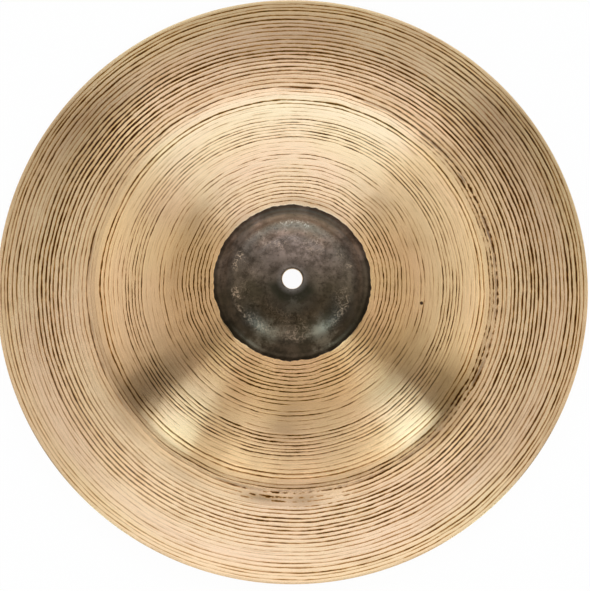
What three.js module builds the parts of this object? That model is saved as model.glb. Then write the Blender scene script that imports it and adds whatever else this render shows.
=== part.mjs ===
// A china cymbal: one piece of cast, hammered and lathed bronze, lying bell up on its trough.
// Lengths are millimetres and +Z is up. The origin is on the resting plane, under the centre hole.
import * as THREE from 'three';

// Rings, as radii from the centre of the hole
const outerRadius = 203.2;
const troughRadius = 138.5;
const bellRadius = 54;
const holeRadius = 6.7;

// Widths of the stretches between the rings
const landWidth = 7;
const shoulderWidth = 10;
const footWidth = 7;
const troughWidth = 10;

// Sheet thickness, even over the bell and thinner towards the rim
const bellWall = 1.2;
const rimWall = 0.75;
const holeChamfer = 0.25;

// Slopes in degrees at the end of each stretch, walking outwards: falling is negative
const crownSlope = -22;
const shoulderSlope = -48;
const bowTopSlope = -6;
const bowFootSlope = -18;
const flangeFootSlope = 4;
const rimSlope = 12;

// Facets along each stretch of the profile and round the whole turn
const crownSteps = 4;
const shoulderSteps = 3;
const footSteps = 3;
const bowSteps = 4;
const troughSteps = 4;
const flangeSteps = 4;
const rimSteps = 4;
const turnSteps = 80;

// The lathed bronze, and how much darker the raw skin left on the bell is
const bronzeColour = new THREE.Color(0xd6b284);
const rawSkinShade = new THREE.Color(0.3, 0.27, 0.25);

function pointAt(radius, height) {
  return new THREE.Vector2(radius, height);
}

// Adds one arc of equal chords that leaves along the last station's slope and ends at the slope given.
function arcTo(stations, endRadius, endSlope, steps) {
  const first = stations.at(-1);
  const bend = (endSlope - first.slope) / steps;
  const chordSlopes = [];
  for (let step = 0; step < steps; step++) {
    chordSlopes.push(THREE.MathUtils.degToRad(first.slope + bend * (step + 0.5)));
  }
  const reach = chordSlopes.reduce((sum, slope) => sum + Math.cos(slope), 0);
  const chord = (endRadius - first.radius) / reach;
  chordSlopes.forEach((chordSlope, step) => {
    const last = stations.at(-1);
    stations.push({
      radius: last.radius + chord * Math.cos(chordSlope),
      height: last.height + chord * Math.sin(chordSlope),
      slope: first.slope + bend * (step + 1),
    });
  });
}

// The top face from the hole to the rim, with the flat land at height 0.
function topStations() {
  const landRadius = holeRadius + landWidth;
  const rimRise = Math.sin(THREE.MathUtils.degToRad(rimSlope));
  const flangeRadius = outerRadius - (rimWall / 2) * (1 + rimRise);
  const stations = [
    { radius: holeRadius + holeChamfer, height: 0, slope: 0 },
    { radius: landRadius, height: 0, slope: 0 },
  ];
  arcTo(stations, bellRadius - footWidth - shoulderWidth, crownSlope, crownSteps);
  arcTo(stations, bellRadius - footWidth, shoulderSlope, shoulderSteps);
  arcTo(stations, bellRadius, bowTopSlope, footSteps);
  arcTo(stations, troughRadius - troughWidth / 2, bowFootSlope, bowSteps);
  arcTo(stations, troughRadius + troughWidth / 2, flangeFootSlope, troughSteps);
  arcTo(stations, flangeRadius, rimSlope, flangeSteps);
  return stations;
}

function wallAt(radius) {
  const share = THREE.MathUtils.clamp((radius - bellRadius) / (outerRadius - bellRadius), 0, 1);
  return THREE.MathUtils.lerp(bellWall, rimWall, share);
}

// The face under a station: one wall thickness away, square to the slope there.
function underPoint(station) {
  const slope = THREE.MathUtils.degToRad(station.slope);
  const wall = wallAt(station.radius);
  return pointAt(station.radius + wall * Math.sin(slope), station.height - wall * Math.cos(slope));
}

// The half round edge that joins the underside to the top face at the rim.
function rimPoints(station) {
  const under = underPoint(station);
  const middle = pointAt(station.radius, station.height).add(under).divideScalar(2);
  const points = [];
  for (let step = 1; step < rimSteps; step++) {
    const angle = THREE.MathUtils.degToRad(station.slope - 90 + (180 * step) / rimSteps);
    const reach = pointAt(Math.cos(angle), Math.sin(angle)).multiplyScalar(rimWall / 2);
    points.push(reach.add(middle));
  }
  return points;
}

// The closed section of the metal: hole edge, underside, rim, top face, and the hole edge again.
function sectionPoints() {
  const stations = topStations();
  const top = stations.map((station) => pointAt(station.radius, station.height)).reverse();
  const under = stations.map(underPoint);
  const points = [
    pointAt(holeRadius, holeChamfer - bellWall),
    ...under,
    ...rimPoints(stations.at(-1)),
    ...top,
    pointAt(holeRadius, -holeChamfer),
  ];
  const lowest = Math.min(...points.map((point) => point.y));
  points.forEach((point) => point.setY(point.y - lowest));
  points.push(points[0].clone());
  return points;
}

// Darkens the vertices of the bell, which keeps its raw skin, and leaves the lathed bronze as it is.
function shadeBell(geometry) {
  const places = geometry.getAttribute('position');
  const shades = new THREE.Float32BufferAttribute(places.count * places.itemSize, places.itemSize);
  const lathed = new THREE.Color(1, 1, 1);
  for (let index = 0; index < places.count; index++) {
    const radius = Math.hypot(places.getX(index), places.getY(index));
    const shade = radius < bellRadius - footWidth / 2 ? rawSkinShade : lathed;
    shades.setXYZ(index, shade.r, shade.g, shade.b);
  }
  geometry.setAttribute('color', shades);
}

function makeCymbal() {
  const geometry = new THREE.LatheGeometry(sectionPoints(), turnSteps);
  geometry.rotateX(Math.PI / 2);
  shadeBell(geometry);
  const material = new THREE.MeshStandardMaterial({
    color: bronzeColour,
    roughness: 0.35,
    metalness: 1,
    vertexColors: true,
  });
  const cymbal = new THREE.Mesh(geometry, material);
  cymbal.name = 'cymbal';
  return cymbal;
}

const chinaCymbal = new THREE.Group();
chinaCymbal.add(makeCymbal());

export default chinaCymbal;
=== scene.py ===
"""A china cymbal: raw domed bell, lathed bow, trough and upturned flange, lying bell up on a floor.

The metal is one closed surface: the section of the sheet, carried round the centre hole. Its lathe
grooves are cut into the mesh, which also carries how much dark residue each stretch of groove holds
and where the bronze is darkened, partly by stains and partly as painted shade. The sheet is worked
out in millimetres and built in metres. Angles on it are counted from +X towards +Y.
"""
import math

import bpy
import numpy as np
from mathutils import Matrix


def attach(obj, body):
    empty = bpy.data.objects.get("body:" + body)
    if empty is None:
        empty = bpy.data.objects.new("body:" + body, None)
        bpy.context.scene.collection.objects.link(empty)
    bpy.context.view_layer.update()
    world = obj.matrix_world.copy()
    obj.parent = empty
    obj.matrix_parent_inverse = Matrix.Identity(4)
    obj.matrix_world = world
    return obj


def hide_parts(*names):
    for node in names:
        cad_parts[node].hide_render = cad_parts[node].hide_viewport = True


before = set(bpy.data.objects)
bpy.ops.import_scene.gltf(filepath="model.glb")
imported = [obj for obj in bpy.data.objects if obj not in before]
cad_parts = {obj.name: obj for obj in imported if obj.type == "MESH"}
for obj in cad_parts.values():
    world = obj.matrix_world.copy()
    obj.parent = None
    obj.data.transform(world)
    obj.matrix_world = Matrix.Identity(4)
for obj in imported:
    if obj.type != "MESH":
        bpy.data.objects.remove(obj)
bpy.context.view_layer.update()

MM = 0.001

# Rings of the cymbal, as radii in millimetres
OUTER_RADIUS = 203.2
TROUGH_RADIUS = 138.5
BELL_RADIUS = 54.0
HOLE_RADIUS = 6.7
LAND_RADIUS = 13.7
SHOULDER_START = 37.0
FOOT_START = 47.0
TROUGH_WIDTH = 10.0

# Slopes in degrees at the end of each stretch, walking outwards: falling is negative
CROWN_SLOPE = -22.0
SHOULDER_SLOPE = -48.0
BOW_TOP_SLOPE = -6.0
BOW_FOOT_SLOPE = -18.0
FLANGE_FOOT_SLOPE = 4.0
RIM_SLOPE = 12.0

# Sheet thickness in millimetres
BELL_WALL = 1.2
RIM_WALL = 0.75
HOLE_EDGE = 0.25

# The mesh: steps along each arc of the section and round the turn, then the widest step along the
# section in millimetres and how far past it a step may go, then the steps of a rounded edge
ARC_STEPS = 60
TURN_STEPS = 256
BELL_STEP = 1.7
BOW_STEP = 1.6
UNDER_STEP = 3.0
STEP_SLACK = 0.2
EDGE_STEPS = 6

# How much room the underside gets in the texture strip, against the top
UNDER_SHARE = 0.5

# Bands of lathe grooves: first and last radius in millimetres, count, strength and evenness
TOP_GROOVES = (
    (57.2, 75.2, 8, 0.95, 0.45),
    (78.0, 80.7, 2, 0.50, 0.20),
    (83.4, 83.4, 1, 0.45, 0.10),
    (88.1, 90.8, 2, 0.65, 0.15),
    (94.4, 100.0, 3, 0.28, 0.10),
    (103.6, 117.4, 7, 0.92, 0.30),
    (120.4, 126.6, 3, 0.35, 0.20),
    (129.9, 132.4, 2, 0.90, 0.60),
    (136.6, 136.6, 1, 1.05, 0.55),
    (139.5, 142.3, 2, 0.95, 0.52),
    (145.6, 151.2, 3, 0.80, 0.62),
    (153.9, 167.8, 6, 1.17, 0.75),
    (170.5, 176.1, 3, 1.04, 0.70),
    (178.9, 187.2, 4, 0.62, 0.45),
    (190.0, 195.6, 3, 1.05, 0.72),
    (197.9, 200.2, 2, 0.55, 0.50),
)
UNDER_GROOVES = (
    (58.0, 126.0, 15, 0.60, 0.30),
    (146.0, 199.0, 14, 0.60, 0.40),
)
GROOVE_HALF_WIDTH = 0.75
GROOVE_DEPTH = 0.06
LATHE_PITCH = 2.75

# How far a groove may lie from its even place in millimetres, and how its strength is scaled
GROOVE_SHIFT = 0.3
GROOVE_STRENGTHS = (0.75, 1.1)

# Where the lines are worn: angle in degrees, radius, reach in degrees and in millimetres, and the
# share of the residue that is gone. Where the share is below zero, residue has gathered instead
WORN_PATCHES = (
    (8, 142.3, 34, 2, -0.45),
    (8, 132.4, 16, 2, 0.45),
    (262, 147, 7, 4, -2.20),
    (266, 138, 6, 3, 0.40),
    (259, 136.5, 8, 2.5, 0.50),
    (332, 138, 16, 4, -0.12),
    (40, 138, 32, 6, -0.20),
    (92, 132.4, 48, 1.8, -0.85),
    (90, 142.3, 50, 1.8, -0.40),
    (75, 136.6, 60, 1.8, 0.70),
    (90, 146.3, 40, 1.8, -0.15),
    (306, 136.4, 20, 1.8, -0.65),
    (178, 132, 36, 2.5, -0.40),
    (300, 132, 16, 3, 0.50),
    (298, 153, 10, 4, 0.40),
    (342, 57, 20, 3, 0.50),
    (262, 151, 11, 4.5, 0.75),
    (36, 142, 10, 5, -0.35),
    (262, 160, 12, 4, -0.70),
    (293, 143.5, 10, 4, -0.80),
    (138, 158.5, 8, 5, -0.40),
    (82, 191, 14, 5, -0.45),
    (72, 106, 12, 5, -0.60),
    (358, 192, 10, 4, -0.50),
    (182, 139.2, 36, 2.0, 0.78),
    (182, 142.3, 34, 1.4, -0.35),
    (90, 139.2, 50, 1.4, 0.45),
    (212, 191, 10, 5, 0.45),
    (330, 176, 10, 6, 0.35),
    (244, 110, 28, 8, -0.70),
    (248, 72, 45, 6, -0.35),
    (255, 83, 32, 7, -0.50),
    (180, 66, 22, 9, -0.45),
    (325, 140, 14, 5, -0.30),
    (165, 136.6, 60, 1.8, 0.85),
    (15, 115, 9, 7, 0.65),
    (154, 112, 9, 6, 0.50),
    (199, 108, 9, 6, 0.45),
    (95, 108, 12, 5, 0.50),
    (284, 137.5, 9, 4, 0.45),
    (211, 64, 12, 6, 0.28),
    (281, 63.5, 8, 5, 0.40),
    (293, 157, 8, 4, -0.55),
    (104, 142.5, 12, 3, 0.45),
    (105, 163, 8, 6, 0.30),
    (105, 178, 8, 6, 0.30),
    (64, 163, 8, 6, 0.30),
    (173, 105, 8, 6, 0.35),
    (215, 167, 7, 6, 0.25),
    (178, 180, 8, 6, -0.30),
    (134, 105, 10, 6, 0.35),
    (52, 112, 8, 6, 0.35),
    (324, 165, 8, 6, 0.30),
    (325, 112, 8, 6, 0.40),
    (222, 103, 9, 6, 0.40),
    (237, 111, 6, 6, 0.30),
    (178, 58, 12, 4, -0.60),
    (228, 138, 7, 5, 0.70),
    (280, 145, 7, 4, 0.60),
    (282, 113, 6, 6, 0.45),
    (66, 190, 8, 6, 0.30),
    (308, 141, 8, 5, 0.30),
    (154, 127, 8, 6, 0.35),
    (304, 168, 8, 6, 0.30),
    (175, 138, 9, 4, 0.25),
    (90, 192, 26, 6, 0.38),
    (90, 173, 14, 6, 0.35),
    (315, 192, 14, 6, 0.25),
    (182, 151, 18, 7, 0.30),
    (240, 184, 60, 5, 0.40),
    (245, 170, 55, 22, 0.42),
    (218, 151, 44, 8, 0.80),
    (228, 193, 52, 9, 0.65),
    (90, 151, 36, 7, 0.35),
    (221, 143, 12, 2, 0.80),
    (221, 139.5, 12, 1.5, -0.60),
    (125, 63, 55, 12, 0.28),
    (110, 128, 80, 8, 0.20),
)

# Where the bronze is darkened, partly by stains and partly as painted shade: angle in degrees,
# radius, reach in degrees and in millimetres, and the share of the darkening
STAINS_AND_SHADE = (
    (172, 79, 22, 8, 0.33),
    (173, 62, 24, 8, 0.22),
    (145, 80, 13, 8, 0.28),
    (20, 72, 26, 12, 0.14),
    (338, 90, 8, 10, 0.20),
    (240, 149, 7, 5, 0.24),
    (219, 147, 7, 5, 0.24),
    (43, 82, 8, 10, 0.22),
    (21, 88, 9, 10, 0.16),
    (315, 97, 8, 13, 0.33),
    (317, 138, 10, 5.5, 0.60),
    (317, 146, 8, 3.5, 0.38),
    (219, 138, 6, 4, 0.18),
    (320, 124.5, 8, 8, 0.20),
    (161, 68, 12, 8, 0.20),
    (216, 123, 7, 8, 0.20),
    (79, 57, 26, 4, 0.42),
    (131, 56, 16, 4, 0.28),
    (137, 184, 12, 14, 0.36),
    (84, 179, 17, 13, 0.30),
    (43, 180, 8, 12, 0.20),
    (190, 178, 10, 10, 0.12),
    (38, 142, 10, 6, 0.18),
    (273, 147, 4.5, 5, 0.60),
    (262, 147, 6, 3.5, 0.72),
    (270, 84.5, 8, 7, 0.18),
    (327, 144.5, 7, 7, 0.16),
    (331, 125.5, 8, 8, 0.18),
    (134, 177, 8, 8, 0.16),
    (32, 68, 10, 6, 0.13),
    (41, 162, 7, 7, 0.18),
    (43, 189, 7, 7, 0.15),
    (148, 70, 8, 6, 0.14),
    (306, 94, 9, 7, 0.16),
    (223, 68, 7, 6, 0.16),
    (317, 173, 8, 9, 0.18),
    (98, 168, 8, 6, 0.22),
    (213, 142, 6, 5, 0.15),
    (138, 187, 8, 7, 0.15),
    (156, 174, 8, 8, 0.14),
    (315, 76, 8, 8, 0.13),
    (266, 100, 8, 9, 0.32),
    (258, 124, 2.5, 12, 0.14),
    (194, 131, 14, 5, 0.12),
)

# The raw skin of the bell ends at a ragged border, a little proud of the lathed metal. The border
# sways coarsely, and finely by a share of that
BORDER_RADIUS = 53.9
BORDER_WIDTH = 0.3
BORDER_SWAY = 0.34
BORDER_FINE_SHARE = 0.45
BORDER_REACH = 1.2
SKIN_HEIGHT = 0.10

# Hammer marks: rows of shallow dents in millimetres, shallower underneath. A dent is longer across
# the row than along it, and strays by a share of the spacing
HAMMER_FIRST_ROW = 60.0
HAMMER_ROW_STEP = 9.5
HAMMER_ROW_DRIFT = 2.5
HAMMER_SPACING = 11.0
HAMMER_STRAY = 0.2
HAMMER_SIZE = 4.2
HAMMER_STRETCH = 1.3
HAMMER_DEPTH = 0.05
HAMMER_STRENGTHS = (0.3, 1.0)
HAMMER_UNDER_SHARE = 0.5

# The radii between which the marks begin by the bell, and on the underside end before the crease of
# the trough and begin again past it
HAMMERED_FROM_BELL = (52.0, 62.0)
HAMMERED_TO_CREASE = (124.0, 131.0)
HAMMERED_PAST_CREASE = (143.0, 150.0)

# How far the rings stray from true circles by the bell and in the trough, and over how wide a
# stretch of radius they do so alike, in millimetres
WANDER_BY_BELL = 0.24
WANDER_IN_TROUGH = 0.16
WANDER_STRETCH = 9.0

# The radii between which the straying begins at the bell, falls by a share over the bow, and ends
# before the rim, and how far it spreads from the trough
WANDER_BEGINS = (54.0, 58.0)
WANDER_FALLS = (78.0, 100.0)
WANDER_FALL_SHARE = 0.55
WANDER_ENDS = (196.0, 201.0)
WANDER_SPREAD = 9.0

# The flange isn't quite true: how many times a turn it rises and falls, how far in millimetres, and
# the phase of each wave. It starts at the radius given
FLANGE_WAVES = (
    (2, 0.28, 0.6),
    (3, 0.20, 2.1),
    (5, 0.10, 4.0),
)
WARP_START = 145.0

# Random waves round the turn: fewest and most times a turn, and how many sines are added
DASH_WAVES = (2, 30, 12)
BORDER_WAVES = (4, 26, 8)
BORDER_FINE_WAVES = (40, 80, 6)
WANDER_WAVES = (3, 22, 7)

# The range of a dash wave over which a line goes from its thinnest to full
DASH_RANGE = (-1.2, 0.9)

# What each random draw starts from
GROOVE_SEED = 11
TOP_LINES_SEED = 100
UNDER_LINES_SEED = 300
HAMMER_SEED = 500
BORDER_SEEDS = (41, 42)
WANDER_SEEDS = (71, 72)

# The photograph's frame, and where the disc's outline lies in it, in pixels
IMAGE_WIDTH = 590
IMAGE_HEIGHT = 591
OUTLINE_CENTRE = (292.3, 292.1)
OUTLINE_HALF_WIDTH = 295.6

# The camera: degrees above the floor, metres from the origin, and points round the rim to aim it by
CAMERA_ELEVATION = 81.25
CAMERA_DISTANCE = 1.2
RIM_POINTS = 720

# The floor: metres each way, its paint, and how much shows plain white instead of the lit paint
FLOOR_REACH = 6.0
FLOOR_PAINT = (0.93, 0.93, 0.93, 1.0)
FLOOR_GLOW = 0.96


def arc(start, end_radius, end_slope):
    """One arc tangent to what it follows, as rows of radius, height and slope.

    The slope turns evenly along the arc, so equal chords lie along evenly turning directions, and
    the chord is the radius covered over the sum of their cosines.
    """
    radius, height, slope = start
    turned = slope + (end_slope - slope) * (np.arange(ARC_STEPS) + 0.5) / ARC_STEPS
    chord = (end_radius - radius) / np.cos(np.radians(turned)).sum()
    radii = radius + np.cumsum(chord * np.cos(np.radians(turned)))
    heights = height + np.cumsum(chord * np.sin(np.radians(turned)))
    slopes = slope + (end_slope - slope) * (np.arange(ARC_STEPS) + 1) / ARC_STEPS
    return np.column_stack([radii, heights, slopes])


def section_table():
    """The top face from the hole to the rim, as closely spaced rows of radius, height and slope."""
    rim_rise = math.sin(math.radians(RIM_SLOPE))
    flange_end = OUTER_RADIUS - RIM_WALL / 2 * (1 + rim_rise)
    half_trough = TROUGH_WIDTH / 2
    stretches = (
        (SHOULDER_START, CROWN_SLOPE),
        (FOOT_START, SHOULDER_SLOPE),
        (BELL_RADIUS, BOW_TOP_SLOPE),
        (TROUGH_RADIUS - half_trough, BOW_FOOT_SLOPE),
        (TROUGH_RADIUS + half_trough, FLANGE_FOOT_SLOPE),
        (flange_end, RIM_SLOPE),
    )
    rows = [np.array([[HOLE_RADIUS, 0.0, 0.0], [LAND_RADIUS, 0.0, 0.0]])]
    for end_radius, end_slope in stretches:
        rows.append(arc(rows[-1][-1], end_radius, end_slope))
    return np.vstack(rows)


SECTION = section_table()


def wall_at(radius):
    """Sheet thickness: even over the bell, then thinning in proportion to the radius."""
    share = np.clip((radius - BELL_RADIUS) / (OUTER_RADIUS - BELL_RADIUS), 0, 1)
    return BELL_WALL + (RIM_WALL - BELL_WALL) * share


def height_at(radius):
    return np.interp(radius, SECTION[:, 0], SECTION[:, 1])


def slope_at(radius):
    return np.radians(np.interp(radius, SECTION[:, 0], SECTION[:, 2]))


def under_height_at(radius, wall):
    """Height of the underside: one wall thickness from the top face, square to the slope."""
    return height_at(radius) - wall * np.cos(slope_at(radius))


# The underside touches the floor under the trough: this lifts the section so that it just does
SECTION[:, 1] -= under_height_at(SECTION[:, 0], wall_at(SECTION[:, 0])).min()


def smooth_step(value, low, high):
    share = np.clip((value - low) / (high - low), 0, 1)
    return share * share * (3 - 2 * share)


def groove_radii(bands):
    """Centre, strength and evenness of each groove: even steps within a band, moved by a draw."""
    draw = np.random.default_rng(GROOVE_SEED)
    centres = np.concatenate([
        np.linspace(first, last, count) for first, last, count, _, _ in bands
    ])
    strengths = np.concatenate([np.full(count, strength) for _, _, count, strength, _ in bands])
    evenness = np.concatenate([np.full(count, even) for _, _, count, _, even in bands])
    centres = centres + draw.uniform(-GROOVE_SHIFT, GROOVE_SHIFT, centres.size)
    strengths = strengths * draw.uniform(*GROOVE_STRENGTHS, strengths.size)
    return centres, strengths, evenness


def ring_radii(first, last, grooves, widest):
    """Ring radii: the edges and bottom of each groove, and even steps between the grooves."""
    edges = np.concatenate([grooves - GROOVE_HALF_WIDTH, grooves, grooves + GROOVE_HALF_WIDTH])
    fixed = np.unique(np.concatenate([[first], edges, [last]]).round(4))
    fixed = fixed[(fixed >= first) & (fixed <= last)]
    rings = []
    for near, far in zip(fixed[:-1], fixed[1:]):
        count = max(1, math.ceil((far - near) / widest - STEP_SLACK))
        rings.append(np.linspace(near, far, count, endpoint=False))
    return np.append(np.concatenate(rings), last)


def wave(angle, seed, low, high, count):
    """A smooth random wave round the turn, about -1 to 1: whole-number sines with drawn phases."""
    draw = np.random.default_rng(seed)
    turns = draw.integers(low, high, count)
    phases = draw.uniform(0, 2 * math.pi, count)
    return np.sin(angle[:, None] * turns + phases).sum(1) / math.sqrt(count)


def groove_cut(radius, angle, bands, seed):
    """For each ring: how deep it lies in a groove, its lathe pass, and how much residue it holds.

    The cut is a V: one minus the distance to the nearest groove over the half width. The pass is a
    whole number in the middle of a groove and grows evenly across it. The residue is the groove's
    strength times a wave of its own, which swings between its evenness and 1.
    """
    grooves, strengths, evenness = groove_radii(bands)
    nearest = np.abs(radius[:, None] - grooves).argmin(1)
    cut = np.clip(1 - np.abs(radius - grooves[nearest]) / GROOVE_HALF_WIDTH, 0, 1)
    number = np.arange(1, grooves.size + 1)
    share = GROOVE_HALF_WIDTH / LATHE_PITCH
    edges = np.stack([grooves - GROOVE_HALF_WIDTH, grooves + GROOVE_HALF_WIDTH], 1).reshape(-1)
    edges = np.concatenate([[edges[0] - 1], edges, [edges[-1] + 1]])
    counts = np.stack([number - share, number + share], 1).reshape(-1)
    passes = np.interp(radius, edges, np.concatenate([[0.5], counts, [grooves.size + 0.5]]))
    dashes = np.array([wave(angle, seed + index, *DASH_WAVES) for index in range(grooves.size)])
    hold = evenness[:, None] + (1 - evenness[:, None]) * smooth_step(dashes, *DASH_RANGE)
    return cut * strengths[nearest], passes, strengths[nearest] * hold.T[:, nearest]


def hammer_field(radius, angle):
    """Depth of the hammer marks: rows of dents, each a bell curve about a drawn centre."""
    field = np.zeros((angle.size, radius.size))
    rows = np.arange(HAMMER_FIRST_ROW, OUTER_RADIUS, HAMMER_ROW_STEP)
    for number, row in enumerate(rows):
        draw = np.random.default_rng(HAMMER_SEED + number)
        count = int(2 * math.pi * row / HAMMER_SPACING)
        cell = (angle / (2 * math.pi) * count + draw.uniform()) % count
        index = cell.astype(int) % count
        centre = 0.5 + draw.uniform(-HAMMER_STRAY, HAMMER_STRAY, count)[index]
        drift = draw.uniform(-HAMMER_ROW_DRIFT, HAMMER_ROW_DRIFT, count)[index]
        depth = draw.uniform(*HAMMER_STRENGTHS, count)[index]
        along = (cell % 1 - centre) * HAMMER_SPACING / HAMMER_SIZE
        across = (radius[None, :] - row - drift[:, None]) / (HAMMER_SIZE * HAMMER_STRETCH)
        field += depth[:, None] * np.exp(-(along[:, None] ** 2) - across ** 2)
    return field


def wander(radius, angle):
    """How far a ring strays from a true circle: most near the bell, and not at all at the rim.

    Two random waves round the turn are blended by the sine and cosine of the radius, so that
    neighbouring rings stray almost alike.
    """
    size = WANDER_BY_BELL * smooth_step(radius, *WANDER_BEGINS)
    size = size * (1 - WANDER_FALL_SHARE * smooth_step(radius, *WANDER_FALLS))
    size = size + WANDER_IN_TROUGH * np.exp(-((radius - TROUGH_RADIUS) / WANDER_SPREAD) ** 2)
    size = size * (1 - smooth_step(radius, *WANDER_ENDS))
    first, second = (wave(angle, seed, *WANDER_WAVES) for seed in WANDER_SEEDS)
    turn = radius / WANDER_STRETCH
    return size * (np.cos(turn) * first[:, None] + np.sin(turn) * second[:, None])


def left_by(patches, radius, angle):
    """What the patches leave of a whole: each takes its share, as a bell curve both ways."""
    left = np.ones((angle.size, radius.size))
    for at_angle, at_radius, angle_reach, radius_reach, share in patches:
        turned = (np.degrees(angle) - at_angle + 180) % 360 - 180
        across = (radius - at_radius) / radius_reach
        left *= 1 - share * np.exp(-((turned / angle_reach) ** 2))[:, None] * np.exp(-(across ** 2))
    return left


def flange_warp(radius, angle):
    """How far the flange lies above its true height: sines round the turn, growing to the rim."""
    lift = sum(rise * np.sin(turns * angle + phase) for turns, rise, phase in FLANGE_WAVES)
    return lift[:, None] * smooth_step(radius, WARP_START, OUTER_RADIUS)


def turn_angles():
    return np.arange(TURN_STEPS) * 2 * math.pi / TURN_STEPS


def top_face():
    """Points of the top face by angle and ring, with lathe pass, residue, stains and painted shade
    at each.

    The last value is the number of steps from ring to ring that the raw skin covers.
    """
    angle = turn_angles()
    grooves = groove_radii(TOP_GROOVES)[0]
    bell = np.linspace(HOLE_RADIUS + HOLE_EDGE, BORDER_RADIUS, round(BORDER_RADIUS / BELL_STEP))
    rest = ring_radii(BORDER_RADIUS + BORDER_WIDTH, SECTION[-1, 0], grooves, BOW_STEP)
    rings = np.concatenate([bell, rest])
    cut, passes, residue = groove_cut(rings, angle, TOP_GROOVES, TOP_LINES_SEED)
    residue = residue * left_by(WORN_PATCHES, rings, angle)
    stain_and_shade = 1 - left_by(STAINS_AND_SHADE, rings, angle)
    coarse = wave(angle, BORDER_SEEDS[0], *BORDER_WAVES)
    fine = wave(angle, BORDER_SEEDS[1], *BORDER_FINE_WAVES)
    scallop = BORDER_SWAY * (coarse + BORDER_FINE_SHARE * fine)
    border = np.exp(-((rings - BORDER_RADIUS) / BORDER_REACH) ** 2)
    radius = rings[None, :] + wander(rings, angle) + scallop[:, None] * border
    dents = hammer_field(rings, angle) * smooth_step(rings, *HAMMERED_FROM_BELL)
    height = height_at(radius) - GROOVE_DEPTH * cut - HAMMER_DEPTH * dents
    height = height - SKIN_HEIGHT * (rings > BORDER_RADIUS + BORDER_WIDTH / 2)
    height = height + flange_warp(rings, angle)
    return angle, radius, height, passes, residue, stain_and_shade, bell.size - 1


def under_face():
    """Points of the underside by angle and ring, with the lathe pass and residue at each.

    It lies one wall thickness from the top face, with no hammer marks in the crease of the trough.
    """
    angle = turn_angles()
    grooves = groove_radii(UNDER_GROOVES)[0]
    bell = np.arange(HOLE_RADIUS + HOLE_EDGE, BELL_RADIUS, UNDER_STEP)
    rest = ring_radii(BELL_RADIUS, SECTION[-1, 0], grooves, UNDER_STEP)
    rings = np.concatenate([bell, rest])
    cut, passes, residue = groove_cut(rings, angle, UNDER_GROOVES, UNDER_LINES_SEED)
    wall = wall_at(rings) - GROOVE_DEPTH * cut
    radius = np.broadcast_to(rings + wall * np.sin(slope_at(rings)), (angle.size, rings.size))
    hammered = hammer_field(rings, angle)
    dents = hammered * smooth_step(rings, *HAMMERED_FROM_BELL)
    dents = dents * (1 - smooth_step(rings, *HAMMERED_TO_CREASE))
    dents = dents + hammered * smooth_step(rings, *HAMMERED_PAST_CREASE)
    height = under_height_at(rings, wall) - HAMMER_UNDER_SHARE * HAMMER_DEPTH * dents
    height = height + flange_warp(rings, angle)
    return radius, height, passes, residue


def edge_points(first, last, steps, bulge):
    """A half round edge between two rings of points: half an ellipse whose far axis is bulge."""
    share = (np.arange(1, steps) / steps) * math.pi
    middle, half = (first + last) / 2, (first - last) / 2
    return middle[:, None, :] + half[:, None, :] * np.cos(share)[None, :, None] + (
        np.sin(share)[None, :, None] * np.array(bulge)
    )


def closed_grid(points, name):
    """A mesh whose grid closes on itself both ways, with faces that look outwards.

    points has the shape turns, stations, 3. Each face joins four neighbours, and the last turn and
    the last station join the first ones.
    """
    turns, stations = points.shape[:2]
    turn, station = np.meshgrid(np.arange(turns), np.arange(stations), indexing="ij")
    next_turn, next_station = (turn + 1) % turns, (station + 1) % stations
    corners = [
        turn * stations + station,
        next_turn * stations + station,
        next_turn * stations + next_station,
        turn * stations + next_station,
    ]
    faces = np.stack(corners, -1).reshape(-1, 4)
    mesh = bpy.data.meshes.new(name)
    mesh.vertices.add(turns * stations)
    mesh.vertices.foreach_set("co", points.reshape(-1).astype(np.float32))
    mesh.loops.add(faces.size)
    mesh.loops.foreach_set("vertex_index", faces.reshape(-1).astype(np.int32))
    mesh.polygons.add(len(faces))
    mesh.polygons.foreach_set("loop_start", np.arange(0, faces.size, 4, dtype=np.int32))
    mesh.polygons.foreach_set("use_smooth", np.ones(len(faces), bool))
    mesh.update(calc_edges=True)
    return mesh


def add_polar_map(mesh, turns, stations, along):
    """Lays the sheet flat as a strip: across it the turn, and up it the way along the section.

    along holds each station's share of the section's length, and ends with 1 for the station that
    closes the section.
    """
    turn, station = np.meshgrid(np.arange(turns), np.arange(stations), indexing="ij")
    across = np.stack([turn, turn + 1, turn + 1, turn], -1) / turns
    up = np.stack([along[station], along[station], along[station + 1], along[station + 1]], -1)
    layer = mesh.uv_layers.new(name="OFBake")
    layer.data.foreach_set("uv", np.stack([across, up], -1).reshape(-1).astype(np.float32))


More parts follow.
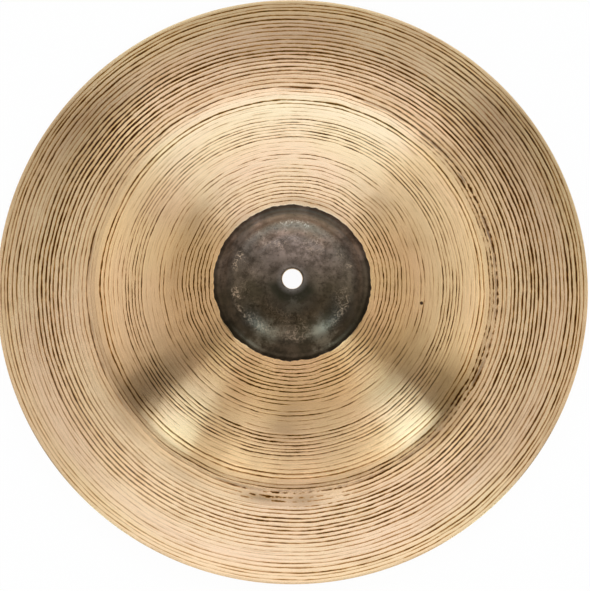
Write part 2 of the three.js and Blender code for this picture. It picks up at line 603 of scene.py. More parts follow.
def make_cymbal():
    """The whole sheet as one closed surface: top face, rim, underside, and the edge of the hole."""
    angle, top_radius, top_height, top_passes, top_residue, top_stain_and_shade, top_border = top_face()
    under_radius, under_height, under_passes, under_residue = under_face()
    top = np.stack([top_radius, top_height], -1)
    under = np.stack([under_radius, under_height], -1)
    rim = edge_points(top[:, -1], under[:, -1], EDGE_STEPS, (RIM_WALL / 2, 0))
    hole = edge_points(under[:, 0], top[:, 0], EDGE_STEPS, (-HOLE_EDGE, 0))
    section = np.concatenate([top, rim, under[:, ::-1], hole], 1)
    points = np.stack([
        section[..., 0] * np.cos(angle)[:, None],
        section[..., 0] * np.sin(angle)[:, None],
        section[..., 1],
    ], -1) * MM
    mesh = closed_grid(points, "cymbal_sheet")

    stations = section.shape[1]
    under_start = top.shape[1] + rim.shape[1]
    under_end = stations - hole.shape[1]
    residue, passes, stain_and_shade = (np.zeros((angle.size, stations)) for _ in range(3))
    residue[:, :top.shape[1]] = top_residue
    residue[:, under_start:under_end] = under_residue[:, ::-1]
    passes[:, :top.shape[1]] = top_passes
    passes[:, under_start:under_end] = under_passes[::-1]
    stain_and_shade[:, :top.shape[1]] = top_stain_and_shade
    for name, values in (("residue", residue), ("lathe_pass", passes), ("stain_and_shade", stain_and_shade)):
        mesh.attributes.new(name, "FLOAT", "POINT").data.foreach_set(
            "value", values.reshape(-1).astype(np.float32)
        )

    closed = np.concatenate([section[0], section[0][:1]])
    lengths = np.hypot(*np.diff(closed, axis=0).T)
    lengths[under_start:] *= UNDER_SHARE
    along = np.concatenate([[0], np.cumsum(lengths)])
    add_polar_map(mesh, angle.size, stations, along / along[-1])

    station = np.arange(stations)
    under_border = under_end - int((under_radius[0] < BORDER_RADIUS).sum())
    raw = (station < top_border) | ((station >= under_border) & (station < under_end - 1))
    mesh.materials.append(lathed_finish())
    mesh.materials.append(raw_finish())
    mesh.polygons.foreach_set("material_index", np.tile(raw, angle.size).astype(np.int32))
    piece = bpy.data.objects.new("cymbal_sheet", mesh)
    bpy.context.scene.collection.objects.link(piece)
    return piece


class Finish:
    """A material's nodes. Apart from add and show, each call returns the socket that it makes."""

    def __init__(self, name, tree=None):
        if tree is None:
            self.material = bpy.data.materials.new(name)
            self.material.use_nodes = True
            tree = self.material.node_tree
        self.nodes = tree.nodes
        self.links = tree.links
        self.nodes.clear()

    def add(self, kind, inputs=None, **settings):
        """A new node. Its inputs, by name or number, are joined to a socket or set to a value."""
        node = self.nodes.new(kind)
        for name, value in settings.items():
            setattr(node, name, value)
        for key, value in (inputs or {}).items():
            if isinstance(value, bpy.types.NodeSocket):
                self.links.new(value, node.inputs[key])
            else:
                node.inputs[key].default_value = value
        return node

    def show(self, shader, kind="ShaderNodeOutputMaterial"):
        """Ends the nodes in an output that shows the shader."""
        self.add(kind, {0: shader.outputs[0]})

    def math(self, operation, first, second=0.0, third=0.0, clamp=False):
        given = {0: first, 1: second, 2: third}
        return self.add("ShaderNodeMath", given, operation=operation, use_clamp=clamp).outputs[0]

    def product(self, *values):
        result = values[0]
        for value in values[1:]:
            result = self.math("MULTIPLY", result, value)
        return result

    def apart(self, first, second):
        """How far apart two numbers are."""
        return self.math("ABSOLUTE", self.math("SUBTRACT", first, second))

    def ease(self, value, low, high, start=0.0, end=1.0):
        """A smooth step from start to end while value goes from low to high."""
        given = {"Value": value, "From Min": low, "From Max": high, "To Min": start, "To Max": end}
        return self.add("ShaderNodeMapRange", given, interpolation_type="SMOOTHSTEP").outputs[0]

    def drifting(self, value, noise, reach):
        """A number moved to and fro by noise round 0.5."""
        return self.math("MULTIPLY_ADD", self.math("SUBTRACT", noise, 0.5), reach, value)

    def vector(self, x, y, z):
        return self.add("ShaderNodeCombineXYZ", {0: x, 1: y, 2: z}).outputs[0]

    def distance(self, vector, point):
        node = self.add("ShaderNodeVectorMath", {0: vector, 1: point}, operation="DISTANCE")
        return node.outputs["Value"]

    def attribute(self, name):
        return self.add("ShaderNodeAttribute", attribute_name=name).outputs["Fac"]

    def noise(self, vector, scale=1.0, detail=2.0, roughness=0.5):
        given = {"Vector": vector, "Scale": scale, "Detail": detail, "Roughness": roughness}
        return self.add("ShaderNodeTexNoise", given).outputs["Fac"]

    def mix(self, share, first, second, blend="MIX"):
        """A colour between first and second."""
        given = {"Factor": share, "A": first, "B": second}
        node = self.add("ShaderNodeMix", given, data_type="RGBA", blend_type=blend)
        return node.outputs["Result"]

    def tint(self, share, base, factor):
        """A colour multiplied by factor, as far as share says."""
        return self.mix(share, base, factor, blend="MULTIPLY")

    def blend(self, share, first, second):
        """A number between first and second."""
        given = {"Factor": share, "A": first, "B": second}
        return self.add("ShaderNodeMix", given, data_type="FLOAT").outputs["Result"]

    def ramp(self, share, stops):
        """A colour ramp through stops of place and colour."""
        node = self.add("ShaderNodeValToRGB", {"Fac": share})
        elements = node.color_ramp.elements
        while len(elements) < len(stops):
            elements.new(0.5)
        for element, (place, shade) in zip(elements, stops):
            element.position = place
            element.color = (*shade, 1.0)
        return node.outputs["Color"]


def colour(red, green, blue):
    return (red, green, blue, 1.0)


WHITE = colour(1.0, 1.0, 1.0)


class Place:
    """Where a shaded point lies: its radius in millimetres, and its turn as cosine and sine."""

    def __init__(self, finish):
        self.finish = finish
        self.object = finish.add("ShaderNodeTexCoord").outputs["Object"]
        x, y, _ = finish.add("ShaderNodeSeparateXYZ", {0: self.object}).outputs
        metres = finish.math("SQRT", finish.math("ADD", finish.product(x, x), finish.product(y, y)))
        self.y = y
        self.flat = finish.vector(x, y, 0.0)
        self.radius = finish.math("MULTIPLY", metres, 1 / MM)
        self.cosine = finish.math("DIVIDE", x, metres)
        self.sine = finish.math("DIVIDE", y, metres)

    def by_radius(self, low, high, start=0.0, end=1.0):
        return self.finish.ease(self.radius, low, high, start, end)

    def band(self, start, full, last, end):
        """A ring of the disc: 1 from full to last, easing to 0 at start and at end."""
        return self.finish.product(self.by_radius(start, full), self.by_radius(end, last))

    def rings(self, round_turn, per_mm):
        """Coordinates whose noise runs in rings: coarse round the turn, fine across the radius."""
        f = self.finish
        return f.vector(
            f.math("MULTIPLY", self.cosine, round_turn),
            f.math("MULTIPLY", self.sine, round_turn),
            f.math("MULTIPLY", self.radius, per_mm),
        )


def metal(finish, base, rough, height, depth, metallic, anisotropic):
    """A metal whose gloss is drawn out across the lathe rings, with height as fine relief.

    The tangent runs round the turn, and a quarter turn of it points across the rings.
    """
    bump = finish.add("ShaderNodeBump", {"Height": height, "Strength": 1.0, "Distance": depth})
    tangent = finish.add("ShaderNodeTangent", direction_type="RADIAL", axis="Z")
    finish.show(finish.add("ShaderNodeBsdfPrincipled", {
        "Base Color": base,
        "Metallic": metallic,
        "Roughness": rough,
        "Normal": bump.outputs[0],
        "Tangent": tangent.outputs[0],
        "Anisotropic": anisotropic,
        "Anisotropic Rotation": 0.25,
    }))
    return finish.material


# The lathed bronze: its two tones, what multiplies them from place to place, some of it painted
# light and shade that differ between the near and far sides, and what lies on them
BRONZE = colour(0.885, 0.648, 0.378)
BRONZE_DRIFT = colour(0.895, 0.633, 0.388)
NEAR_SIDE_LIGHT_BY_BELL = colour(1.0, 0.935, 0.83)
FAR_SIDE_SHADE_BY_BELL = colour(0.93, 0.94, 0.99)
ON_FLANGE = colour(1.0, 1.05, 1.14)
AT_RIM = colour(1.0, 1.0, 0.93)
FAR_FLANGE_SHADE = colour(0.875, 0.88, 0.875)
PAINTED_HIGHLIGHT = colour(1.04, 1.10, 1.16)
STAIN_AND_SHADE = colour(0.26, 0.172, 0.085)
TOOL_RING = colour(0.50, 0.29, 0.13)
SMEAR = colour(0.50, 0.30, 0.12)
DULL_SMEAR = colour(0.33, 0.225, 0.155)
RESIDUE_EDGE = colour(0.40, 0.170, 0.016)
RESIDUE_CORE = colour(0.085, 0.032, 0.002)
NICK = colour(0.05, 0.022, 0.01)

# The nick's place in metres, and these radii in millimetres: where the lines begin and end to grow
# wider and darker towards the flange, the middle of the ring of painted highlight and of the
# smeared ring, and the trough and its dashed lines as bands that start, are full, are last full and
# end
NICK_PLACE = (0.0884, -0.0136, 0.0)
FLANGE_LINES = (122.0, 132.0)
HIGHLIGHT_RADIUS = 140.5
SMEAR_RADIUS = 141.6
TROUGH_BAND = (134.0, 137.5, 143.5, 145.5)
DASHED_BAND = (140.0, 142.0, 150.0, 153.0)

# Half width of a line as a share of a lathe pass, on the bow and on the flange: the least, and what
# full residue adds to it. In the trough the least is smaller
LEAST_WIDTH = (0.105, 0.135)
ADDED_WIDTH = (0.09, 0.14)
TROUGH_THINNER = 0.045

# The residue at which the black core of a line starts and is full, on the bow and on the flange
CORE_START = (0.14, 0.22)
CORE_FULL = (0.58, 0.80)


def bronze_with_painted_light(f, place):
    """A peach gold that drifts slowly, and shifts on the flange and at the rim.

    Painted light and shade change it by side: by the bell it is warmer, and on the far side darker
    and cooler; the far outer flange is darker; and a painted highlight rings the trough on the far
    side.
    """
    tone = f.noise(place.rings(1.8, 0.03), detail=1.0)
    bronze = f.mix(f.ease(tone, 0.35, 0.65), BRONZE, BRONZE_DRIFT)
    # Painted light and shade by the bell: warmer, and on the far side darker and cooler
    side_light_by_bell = f.mix(f.ease(place.sine, 0.35, 0.85), NEAR_SIDE_LIGHT_BY_BELL, FAR_SIDE_SHADE_BY_BELL)
    bronze = f.tint(place.by_radius(106.0, 76.0), bronze, side_light_by_bell)
    bronze = f.tint(place.by_radius(140.0, 156.0), bronze, ON_FLANGE)
    bronze = f.tint(place.by_radius(186.0, 198.0), bronze, AT_RIM)
    # Painted shade: the outer flange darker on the far side
    far = f.product(f.ease(place.sine, -0.30, 0.40), place.by_radius(158.0, 174.0))
    bronze = f.tint(far, bronze, FAR_FLANGE_SHADE)
    # Painted highlight: a paler, cooler ring beside the trough on the far side
    beside_trough = f.apart(place.radius, HIGHLIGHT_RADIUS)
    highlight = f.product(f.ease(beside_trough, 6.0, 3.0), f.ease(place.sine, 0.55, 0.85))
    return f.tint(highlight, bronze, PAINTED_HIGHLIGHT)


def residue_lines(f, place, residue, in_trough):
    """How much residue shows at each point: a line wherever the lathe pass is near a whole number.

    Noise that runs round the rings shifts the lines a little, thickens and thins them, and breaks
    them up where the residue is thin. They turn to beads on the right of the trough and to dashes
    at its front.
    """
    sway = f.noise(place.rings(6.0, 0.05), detail=1.5)
    swayed = f.math("ADD", f.attribute("lathe_pass"), f.ease(sway, 0.25, 0.75, -0.09, 0.09))
    away = f.apart(swayed, f.math("ROUND", swayed))
    ragged = f.noise(place.rings(20.0, 0.45), detail=3.0, roughness=0.6)
    beads = f.noise(place.rings(34.0, 0.35), detail=2.0)
    on_right = f.product(in_trough, f.ease(place.cosine, 0.50, 0.78))
    at_front = f.product(place.band(*DASHED_BAND), f.ease(place.sine, -0.950, -0.980))
    broken = f.ease(ragged, 0.30, 0.68, 0.55, 1.50)
    broken = f.blend(on_right, broken, f.ease(beads, 0.38, 0.62, 0.20, 1.35))
    broken = f.blend(at_front, broken, f.ease(beads, 0.44, 0.58, 0.0, 1.5))
    held = f.product(residue, broken)
    least = place.by_radius(*FLANGE_LINES, *LEAST_WIDTH)
    least = f.math("MULTIPLY_ADD", in_trough, -TROUGH_THINNER, least)
    width = f.math("MULTIPLY_ADD", held, place.by_radius(*FLANGE_LINES, *ADDED_WIDTH), least)
    line = f.math("SUBTRACT", 1.0, f.math("DIVIDE", away, width), clamp=True)
    return f.product(held, line)


def lathed_finish():
    """Lathed bronze: painted light and shade by side, stains that are partly painted shade, fine
    tool rings, smears, dark residue in the grooves, and one nick.
    """
    f = Finish("lathed_bronze")
    place = Place(f)
    residue = f.attribute("residue")
    in_trough = place.band(*TROUGH_BAND)

    # Stains, partly painted shade: the bronze darkened in patches
    bronze = f.mix(f.attribute("stain_and_shade"), bronze_with_painted_light(f, place), STAIN_AND_SHADE)
    fine = f.noise(place.rings(5.0, 0.9), detail=2.0, roughness=0.6)
    bronze = f.mix(f.ease(fine, 0.52, 0.72, 0.0, 0.30), bronze, TOOL_RING)
    smear = f.noise(place.rings(7.0, 0.16), detail=3.0, roughness=0.6)
    smeared = f.math("MULTIPLY", f.ease(smear, 0.50, 0.70, 0.0, 0.30), residue, clamp=True)
    bronze = f.mix(smeared, bronze, SMEAR)
    from_smear = f.apart(place.radius, SMEAR_RADIUS)
    dull = f.product(f.ease(smear, 0.42, 0.60, 0.0, 0.60), f.ease(from_smear, 1.9, 0.6))
    bronze = f.mix(f.math("MULTIPLY", dull, residue, clamp=True), bronze, DULL_SMEAR)

    held = residue_lines(f, place, residue, in_trough)
    bronze = f.mix(f.ease(held, 0.0, 0.32, 0.0, 0.88), bronze, RESIDUE_EDGE)
    core_start = place.by_radius(*FLANGE_LINES, *CORE_START)
    core_full = place.by_radius(*FLANGE_LINES, *CORE_FULL)
    bronze = f.mix(f.ease(held, core_start, core_full), bronze, RESIDUE_CORE)
    from_nick = f.distance(place.flat, NICK_PLACE)
    bronze = f.mix(f.ease(from_nick, 0.0016, 0.0008, 0.0, 0.95), bronze, NICK)
    rough = f.ease(fine, 0.3, 0.7, 0.243, 0.262)
    return metal(f, bronze, rough, fine, depth=0.00002, metallic=1.0, anisotropic=1.0)


# Pale patches of the bell's skin, partly worn and partly painted reflections of soft boxes: place
# from the hole in metres, reach, and how strongly they show
PALE_SCUFFS_AND_REFLECTIONS = (
    (-0.0195, -0.0345, 0.0120, 0.58),
    (0.0205, -0.0365, 0.0120, 0.70),
    (0.0015, -0.0185, 0.0060, 0.30),
)
# Dark patches of it, partly burnt and partly painted shade below the hole, in the same terms
DARK_SCUFFS_AND_SHADE = (
    (0.0325, -0.0205, 0.0135, 0.84),
    (-0.0275, -0.0270, 0.0110, 0.80),
    (0.0255, -0.0265, 0.0080, 0.45),
    (-0.0200, -0.0290, 0.0065, 0.30),
    (-0.0290, 0.0290, 0.0090, 0.40),
    (-0.0360, 0.0105, 0.0080, 0.35),
    (-0.0180, 0.0140, 0.0110, 0.36),
    (0.0000, -0.0205, 0.0120, 0.50),
    (-0.0120, -0.0180, 0.0090, 0.36),
    (0.0120, -0.0160, 0.0090, 0.36),
)

# How light the fired skin is, by the share of the bell's radius: 0.5 leaves it as it is
SKIN_TONES = (
    (0.00, 0.38),
    (0.22, 0.40),
    (0.32, 0.60),
    (0.52, 0.62),
    (0.60, 0.44),
    (0.68, 0.31),
    (0.76, 0.28),
    (0.82, 0.30),
    (0.88, 0.31),
    (0.93, 0.22),
    (1.00, 0.18),
)

# The fired skin: its dark and light mottles, what multiplies them from place to place, much of it
# painted light and shade that differ between the near and far sides, and what lies on them
SKIN_DARK = colour(0.072, 0.055, 0.042)
SKIN_LIGHT = colour(0.225, 0.174, 0.142)
SKIN_CLOUD = colour(0.100, 0.082, 0.056)
SHADE_BELOW_HOLE = colour(0.026, 0.026, 0.017)
NEAR_SIDE_SHADE = colour(0.96, 0.95, 0.82)
FAR_SIDE_LIGHT = colour(1.13, 1.14, 1.14)
FAR_CROWN_SHEEN = colour(2.02, 1.60, 1.36)
TWICE = colour(2.0, 2.0, 2.0)
PALE_SCUFF_AND_REFLECTION = colour(0.185, 0.170, 0.128)
DARK_SCUFF_AND_SHADE = colour(0.046, 0.040, 0.031)
WORN_HOLE = colour(0.42, 0.38, 0.34)
SPECK = colour(0.04, 0.030, 0.022)
SHOULDER = colour(1.04, 0.965, 0.91)
FAR_FOOT_LIGHT_TINT = colour(1.08, 0.90, 0.78)
FAR_SHOULDER_HIGHLIGHT = colour(1.42, 1.72, 2.06)
BARE_METAL = colour(0.62, 0.47, 0.34)

# Rings of the skin as bands that start, are full, are last full and end, in millimetres
FAR_CROWN_SHEEN_BAND = (28.0, 34.0, 45.0, 49.0)
FAR_SHOULDER_HIGHLIGHT_BAND = (42.5, 45.5, 46.5, 50.0)
SCRATCHED_BAND = (36.0, 38.5, 40.5, 43.0)


def with_scuffs_and_painted_light(f, place, skin, mottle):
    """The skin with its burnt and worn patches, which also paint shade below the hole and
    reflections of soft boxes, and whose edges the mottling frays.
    """
    scuffs_and_painted_light = [(*entry, DARK_SCUFF_AND_SHADE) for entry in DARK_SCUFFS_AND_SHADE]
    scuffs_and_painted_light += [(*entry, PALE_SCUFF_AND_REFLECTION) for entry in PALE_SCUFFS_AND_REFLECTIONS]
    for x, y, reach, strength, tint in scuffs_and_painted_light:
        away = f.drifting(f.distance(place.flat, (x, y, 0.0)), mottle, -0.035)
        skin = f.mix(f.ease(away, reach, reach * 0.15, 0.0, strength), skin, tint)
    return skin


def bare_crumbs(f, place):
    """Where bare metal shows: scratches in a ring round the crown, and crumbs inside it."""
    curls = f.noise(place.object, scale=250.0, detail=3.0, roughness=0.6)
    scratch = f.ease(f.apart(curls, 0.5), 0.026, 0.008)
    crumbs = f.noise(place.rings(55.0, 1.8), detail=3.0, roughness=0.7)
    patch = f.noise(place.object, scale=55.0, detail=2.0)
    at_sides = f.ease(f.math("ABSOLUTE", place.cosine), 0.35, 0.75, 0.10, 0.70)
    at_sides = f.product(at_sides, f.ease(place.sine, -0.80, -0.45, 0.15, 1.0))
    ring = f.product(place.band(*SCRATCHED_BAND), at_sides)
    in_ring = f.product(scratch, f.product(f.ease(patch, 0.43, 0.54), ring))
    crown = f.product(f.ease(patch, 0.45, 0.66, 0.05, 0.38), place.by_radius(44.0, 40.0))
    crown = f.product(crown, place.by_radius(17.0, 26.0))
    crown = f.product(crown, f.ease(place.sine, -0.10, 0.60, 0.70, 1.60))
    on_crown = f.product(f.math("MAXIMUM", f.ease(crumbs, 0.56, 0.70), scratch), crown)
    return f.math("MAXIMUM", in_ring, on_crown)


def raw_finish():
    """The fired skin of the bell: dark grey-brown, mottled and worn in patches, with bare metal
    showing.

    Painted shade makes it darkest below the hole, and painted sheen makes it lightest on the far
    side of the crown.
    """
    f = Finish("raw_bronze")
    place = Place(f)
    mottle = f.noise(place.object, scale=120.0, detail=8.0, roughness=0.72)
    cloud = f.noise(place.object, scale=34.0, detail=2.0)
    speck = f.noise(place.object, scale=520.0, detail=2.0)

    skin = f.mix(f.ease(mottle, 0.34, 0.68), SKIN_DARK, SKIN_LIGHT)
    skin = f.mix(f.ease(cloud, 0.44, 0.66, 0.0, 0.65), skin, SKIN_CLOUD)
    # Painted shade: the skin near-black below the hole, on the near side
    below = f.ease(f.drifting(place.y, cloud, 0.045), 0.006, -0.008)
    skin = f.mix(f.product(below, place.by_radius(14.0, 20.0, 0.92, 0.36)), skin, SHADE_BELOW_HOLE)
    # Painted light: the skin darker and warmer towards the near side, lighter towards the far side
    side_light = f.mix(f.ease(f.drifting(place.y, cloud, 0.03), -0.014, 0.016), NEAR_SIDE_SHADE, FAR_SIDE_LIGHT)
    skin = f.tint(1.0, skin, side_light)
    # Painted sheen: the crown lighter and warmer on the far side
    far = f.product(f.ease(place.sine, 0.50, 0.92), place.band(*FAR_CROWN_SHEEN_BAND))
    skin = f.tint(far, skin, FAR_CROWN_SHEEN)
    share = f.math("DIVIDE", place.radius, BELL_RADIUS)
    tone = f.ramp(share, [(at, (grey,) * 3) for at, grey in SKIN_TONES])
    skin = f.tint(1.0, skin, f.tint(1.0, tone, TWICE))
    skin = with_scuffs_and_painted_light(f, place, skin, mottle)
    skin = f.mix(place.by_radius(12.0, 7.0, 0.0, 0.26), skin, WORN_HOLE)
    skin = f.mix(f.ease(speck, 0.55, 0.72, 0.0, 0.5), skin, SPECK)
    skin = f.tint(place.by_radius(41.0, 46.0), skin, SHOULDER)
    # Painted light: a warmer tint on the far side of the foot
    foot = f.product(place.by_radius(47.5, 49.5), f.ease(place.sine, 0.20, 0.60))
    skin = f.tint(foot, skin, FAR_FOOT_LIGHT_TINT)
    # Painted highlight: a pale, cool band on the far side of the shoulder
    lit = f.product(place.band(*FAR_SHOULDER_HIGHLIGHT_BAND), f.ease(place.sine, 0.40, 0.85))
    skin = f.tint(lit, skin, FAR_SHOULDER_HIGHLIGHT)
    skin = f.mix(bare_crumbs(f, place), skin, BARE_METAL)
    rough = f.ease(mottle, 0.3, 0.7, 0.28, 0.34)
    relief = f.math("ADD", mottle, f.math("MULTIPLY", speck, 0.15))
    return metal(f, skin, rough, relief, depth=0.00008, metallic=0.95, anisotropic=0.0)


def shown_directly(finish):
    """1 for rays from the camera, or mirrored or let through by a surface, and 0 for soft light."""
    rays = finish.add("ShaderNodeLightPath").outputs
    seen = finish.math("MAXIMUM", rays["Is Camera Ray"], rays["Is Glossy Ray"])
    return finish.math("MAXIMUM", seen, rays["Is Transmission Ray"])


def make_floor():
    """A pale floor that shows white to the camera, but for a faint part that takes the shadow."""
    mesh = bpy.data.meshes.new("floor")
    corners = np.array([[-1, -1, 0], [1, -1, 0], [1, 1, 0], [-1, 1, 0]]) * FLOOR_REACH
    mesh.from_pydata(corners.tolist(), [], [(0, 1, 2, 3)])
    floor = bpy.data.objects.new("floor", mesh)
    bpy.context.scene.collection.objects.link(floor)
    f = Finish("floor_paint")
    paint = f.add("ShaderNodeBsdfDiffuse", {"Color": FLOOR_PAINT}).outputs[0]
    glow = f.add("ShaderNodeEmission", {"Color": WHITE}).outputs[0]
    plain = f.math("MULTIPLY", shown_directly(f), FLOOR_GLOW)
    f.show(f.add("ShaderNodeMixShader", {0: plain, 1: paint, 2: glow}))
    mesh.materials.append(f.material)


# The studio's colours by the angle clockwise from the right, as the camera sees it. First the soft
# boxes, which stand low round the disc
SOFT_BOXES = (
    (0, (2.28, 2.26, 2.14)),
    (16, (2.20, 2.14, 1.98)),
    (23, (1.15, 1.07, 0.90)),
    (28, (0.42, 0.37, 0.24)),
    (34, (0.22, 0.18, 0.10)),
    (38.5, (0.06, 0.05, 0.02)),
    (41, (3.50, 4.55, 5.20)),
    (51.5, (3.80, 4.95, 5.75)),
    (57, (2.95, 3.30, 3.40)),
    (64, (2.25, 2.23, 2.16)),
    (79, (1.72, 1.66, 1.62)),
    (84, (2.30, 2.16, 2.18)),
    (92, (1.85, 1.77, 1.74)),
    (103, (2.65, 2.67, 2.65)),
    (109, (2.65, 2.67, 2.63)),
    (116, (1.65, 1.62, 1.52)),
    (123, (1.40, 1.38, 1.30)),
    (126, (3.00, 3.80, 4.35)),
    (135, (3.15, 4.00, 4.60)),
    (140.5, (2.00, 2.30, 2.40)),
    (142, (0.03, 0.02, 0.01)),
    (151, (0.05, 0.04, 0.01)),
    (156, (1.12, 1.04, 0.90)),
    (166, (1.85, 1.75, 1.60)),
    (205, (1.82, 1.73, 1.58)),
    (221, (1.60, 1.70, 1.74)),
    (229, (1.74, 2.36, 2.82)),
    (270, (1.61, 2.60, 3.42)),
    (300, (1.71, 2.65, 3.40)),
    (312, (1.68, 1.84, 1.82)),
    (340, (1.90, 1.91, 1.85)),
    (360, (2.28, 2.26, 2.14)),
)
# The ceiling over the disc: bright on the far side, dark on the near side
CEILING = (
    (0, (0.42, 0.40, 0.36)),
    (25, (0.24, 0.22, 0.16)),
    (45, (0.20, 0.18, 0.12)),
    (90, (0.12, 0.10, 0.07)),
    (110, (0.08, 0.07, 0.04)),
    (145, (0.15, 0.13, 0.08)),
    (165, (0.14, 0.13, 0.11)),
    (185, (0.32, 0.31, 0.29)),
    (210, (0.64, 0.62, 0.61)),
    (230, (1.16, 1.12, 1.16)),
    (250, (1.58, 1.54, 1.63)),
    (290, (1.62, 1.58, 1.66)),
    (312, (1.16, 1.12, 1.14)),
    (335, (0.72, 0.70, 0.68)),
    (360, (0.42, 0.40, 0.36)),
)
# The cove between the ceiling and the soft boxes
COVE = (
    (0, (0.22, 0.20, 0.16)),
    (22, (0.24, 0.21, 0.15)),
    (36, (0.16, 0.13, 0.07)),
    (44, (0.28, 0.15, 0.05)),
    (58, (0.32, 0.19, 0.08)),
    (70, (0.24, 0.19, 0.12)),
    (90, (0.18, 0.14, 0.08)),
    (108, (0.34, 0.28, 0.20)),
    (116, (0.30, 0.24, 0.16)),
    (126, (0.30, 0.18, 0.08)),
    (137, (0.24, 0.15, 0.06)),
    (144, (0.08, 0.07, 0.03)),
    (152, (0.14, 0.12, 0.07)),
    (165, (0.32, 0.29, 0.25)),
    (180, (0.48, 0.45, 0.39)),
    (200, (0.50, 0.47, 0.42)),
    (212, (0.34, 0.32, 0.30)),
    (228, (0.68, 0.63, 0.62)),
    (250, (0.92, 0.86, 0.90)),
    (290, (0.96, 0.90, 0.93)),
    (305, (0.86, 0.80, 0.80)),
    (318, (0.40, 0.37, 0.35)),
    (335, (0.40, 0.37, 0.33)),
    (346, (0.32, 0.29, 0.25)),
    (360, (0.22, 0.20, 0.16)),
)
# The wall under them: neutral, bright on the far side, and dark where the boxes leave a gap
WALL = (
    (0, (0.80, 0.78, 0.76)),
    (20, (0.80, 0.78, 0.76)),
    (27, (0.20, 0.18, 0.14)),
    (38, (0.10, 0.09, 0.06)),
    (43, (0.66, 0.64, 0.61)),
    (90, (0.55, 0.53, 0.50)),
    (136, (0.62, 0.60, 0.57)),
    (143, (0.10, 0.09, 0.06)),
    (151, (0.12, 0.10, 0.07)),
    (160, (0.60, 0.58, 0.56)),
    (212, (0.66, 0.64, 0.62)),
    (240, (1.60, 1.56, 1.50)),
    (300, (1.58, 1.54, 1.48)),
    (330, (0.98, 0.96, 0.94)),
    (360, (0.80, 0.78, 0.76)),
)
# The pole of the dome, over the ceiling, and the skirting of the wall
POLE = (1.20, 1.16, 1.17)
SKIRTING = (0.70, 0.66, 0.62)
# The brightest colour that can be given above, since a ramp holds no more than 1
STUDIO_TOP = 6.4

# What a noise multiplies the soft boxes by, at its low and high values
STREAKS = ((0.30, (0.86, 0.85, 0.84)), (0.70, (1.0, 1.0, 1.0)))

# Heights on a dome of radius 1 where one part of the studio starts to give way to the next, and
# has done so
POLE_EDGE = (0.981, 0.998)
COVE_EDGE = (0.97, 0.91)
BOXES_EDGE = (0.785, 0.685)
WALL_EDGE = (0.56, 0.40)
SKIRTING_EDGE = (0.42, 0.28)
BACKDROP_EDGE = (0.12, 0.02)


def studio_colour(red, green, blue):
    return red / STUDIO_TOP, green / STUDIO_TOP, blue / STUDIO_TOP


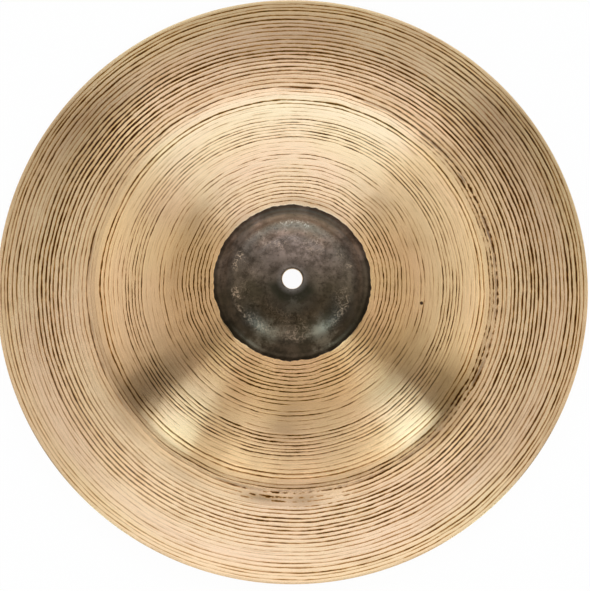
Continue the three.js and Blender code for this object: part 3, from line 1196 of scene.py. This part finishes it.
def make_studio():
    """A dome whose pole lies where a flat disc mirrors the camera.

    From the pole down it has a ceiling, a cove, soft boxes, a wall and its skirting. Rays that
    reach it from the camera, or near the horizon from a mirroring surface, find a white backdrop.
    """
    world = bpy.data.worlds.new("studio")
    bpy.context.scene.world = world
    world.use_nodes = True
    f = Finish("studio", world.node_tree)
    way = f.add("ShaderNodeTexCoord").outputs["Generated"]
    lean = math.radians(90 - CAMERA_ELEVATION)
    turned = f.add("ShaderNodeVectorRotate", {"Vector": way, "Angle": lean}, rotation_type="X_AXIS")
    x, y, height = f.add("ShaderNodeSeparateXYZ", {0: turned.outputs[0]}).outputs
    angle = f.math("ARCTAN2", f.math("MULTIPLY", y, -1.0), x)
    share = f.math("FRACT", f.math("ADD", f.math("DIVIDE", angle, 2 * math.pi), 1.0))
    ceiling, cove, boxes, wall = (
        f.ramp(share, [(turn / 360, studio_colour(*tint)) for turn, tint in stops])
        for stops in (CEILING, COVE, SOFT_BOXES, WALL)
    )
    pole = colour(*studio_colour(*POLE))
    skirting = colour(*studio_colour(*SKIRTING))
    ceiling = f.mix(f.ease(height, *POLE_EDGE), ceiling, pole)
    ceiling = f.mix(f.ease(height, *COVE_EDGE), ceiling, cove)
    streak = f.noise(f.vector(x, y, 0.0), scale=16.0, detail=2.0)
    boxes = f.tint(1.0, boxes, f.ramp(streak, STREAKS))
    light = f.mix(f.ease(height, *BOXES_EDGE), ceiling, boxes)
    light = f.mix(f.ease(height, *WALL_EDGE), light, wall)
    light = f.mix(f.ease(height, *SKIRTING_EDGE, 0.0, 0.80), light, skirting)
    lit = f.add("ShaderNodeBackground", {"Color": light, "Strength": STUDIO_TOP}).outputs[0]
    white = f.add("ShaderNodeBackground", {"Color": WHITE}).outputs[0]
    from_camera = f.add("ShaderNodeLightPath").outputs["Is Camera Ray"]
    backdrop = f.product(shown_directly(f), f.ease(height, *BACKDROP_EDGE))
    plain = f.math("MAXIMUM", from_camera, backdrop)
    both = f.add("ShaderNodeMixShader", {0: plain, 1: lit, 2: white})
    f.show(both, "ShaderNodeOutputWorld")


def make_camera():
    """A camera high in front of the disc, aimed so that the outline falls as in the photograph."""
    data = bpy.data.cameras.new("camera")
    camera = bpy.data.objects.new("camera", data)
    bpy.context.scene.collection.objects.link(camera)
    bpy.context.scene.camera = camera
    rise = math.radians(CAMERA_ELEVATION)
    back = np.array([0.0, -math.cos(rise), math.sin(rise)])
    up = np.array([0.0, math.sin(rise), math.cos(rise)])
    right = np.array([1.0, 0.0, 0.0])
    turn = np.linspace(0, 2 * math.pi, RIM_POINTS, endpoint=False)
    rim = np.column_stack([np.cos(turn), np.sin(turn), np.zeros(RIM_POINTS)]) * OUTER_RADIUS * MM
    rim[:, 2] = (height_at(OUTER_RADIUS) - RIM_WALL / 2) * MM
    depth = CAMERA_DISTANCE - rim @ back
    across, upward = rim @ right / depth, rim @ up / depth
    half_width = (across.max() - across.min()) / 2
    pixel = half_width / OUTLINE_HALF_WIDTH
    middle = (upward.max() + upward.min()) / 2
    data.sensor_fit = "HORIZONTAL"
    data.lens = data.sensor_width / (IMAGE_WIDTH * pixel)
    data.shift_x = (IMAGE_WIDTH / 2 - OUTLINE_CENTRE[0]) / IMAGE_WIDTH
    data.shift_y = (middle / pixel - (IMAGE_HEIGHT / 2 - OUTLINE_CENTRE[1])) / IMAGE_WIDTH
    data.clip_start = 0.01
    data.clip_end = 50.0
    camera.location = (back * CAMERA_DISTANCE).tolist()
    camera.rotation_euler = (math.pi / 2 - rise, 0.0, 0.0)


make_camera()
make_studio()
make_floor()

cymbal = make_cymbal()
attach(cymbal, "root")
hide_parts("cymbal")

scene = bpy.context.scene
scene.view_settings.view_transform = "Standard"
